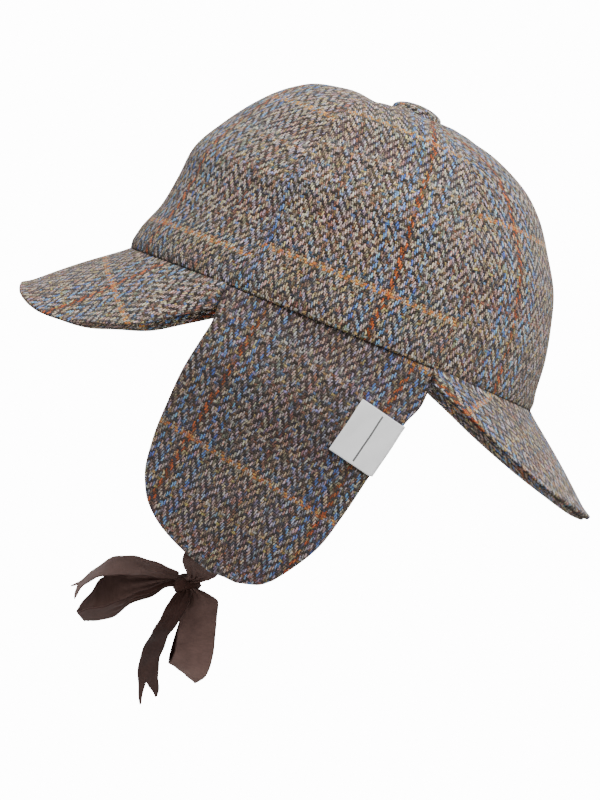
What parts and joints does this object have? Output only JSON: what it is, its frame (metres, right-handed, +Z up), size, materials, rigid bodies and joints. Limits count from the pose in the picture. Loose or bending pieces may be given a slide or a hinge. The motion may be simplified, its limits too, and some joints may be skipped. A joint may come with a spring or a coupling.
{
  "type": "deerstalker hat",
  "caption": "Tweed deerstalker hat with a six-panel crown, covered button, two peaks and two ear flaps tied under the chin with a ribbon bow.",
  "frame": {"origin": "middle of the oval opening, in the plane of the seam that joins the crown to the peaks and flaps", "axes": "-Y towards the front peak, +X towards the wearer's left ear flap, +Z up towards the button"},
  "size_m": [0.1714, 0.2994, 0.3254],
  "materials": {
    "tweed": "taupe and brown wool herringbone with a rust, blue and orange overcheck",
    "tweed_under": "the same wool tweed on the undersides of the peaks, in shade",
    "woven_label": "pale grey woven satin, left plain",
    "brown_ribbon": "dark brown satin ribbon"
  },
  "bodies": {
    "root": {"front_left_panel": "tweed", "side_left_panel": "tweed", "back_left_panel": "tweed", "front_right_panel": "tweed", "side_right_panel": "tweed", "back_right_panel": "tweed", "top_button": "tweed", "front_peak_upper": "tweed", "front_peak_under": "tweed_under", "back_peak_upper": "tweed", "back_peak_under": "tweed_under", "left_ear_flap": "tweed", "right_ear_flap": "tweed", "flap_label": "woven_label", "left_tie_ribbon": "brown_ribbon", "right_tie_ribbon": "brown_ribbon", "bow_knot": "brown_ribbon", "front_bow_tail": "brown_ribbon", "front_bow_loop": "brown_ribbon", "hanging_bow_loop": "brown_ribbon", "hanging_bow_tail": "brown_ribbon"}
  },
  "joints": []
}
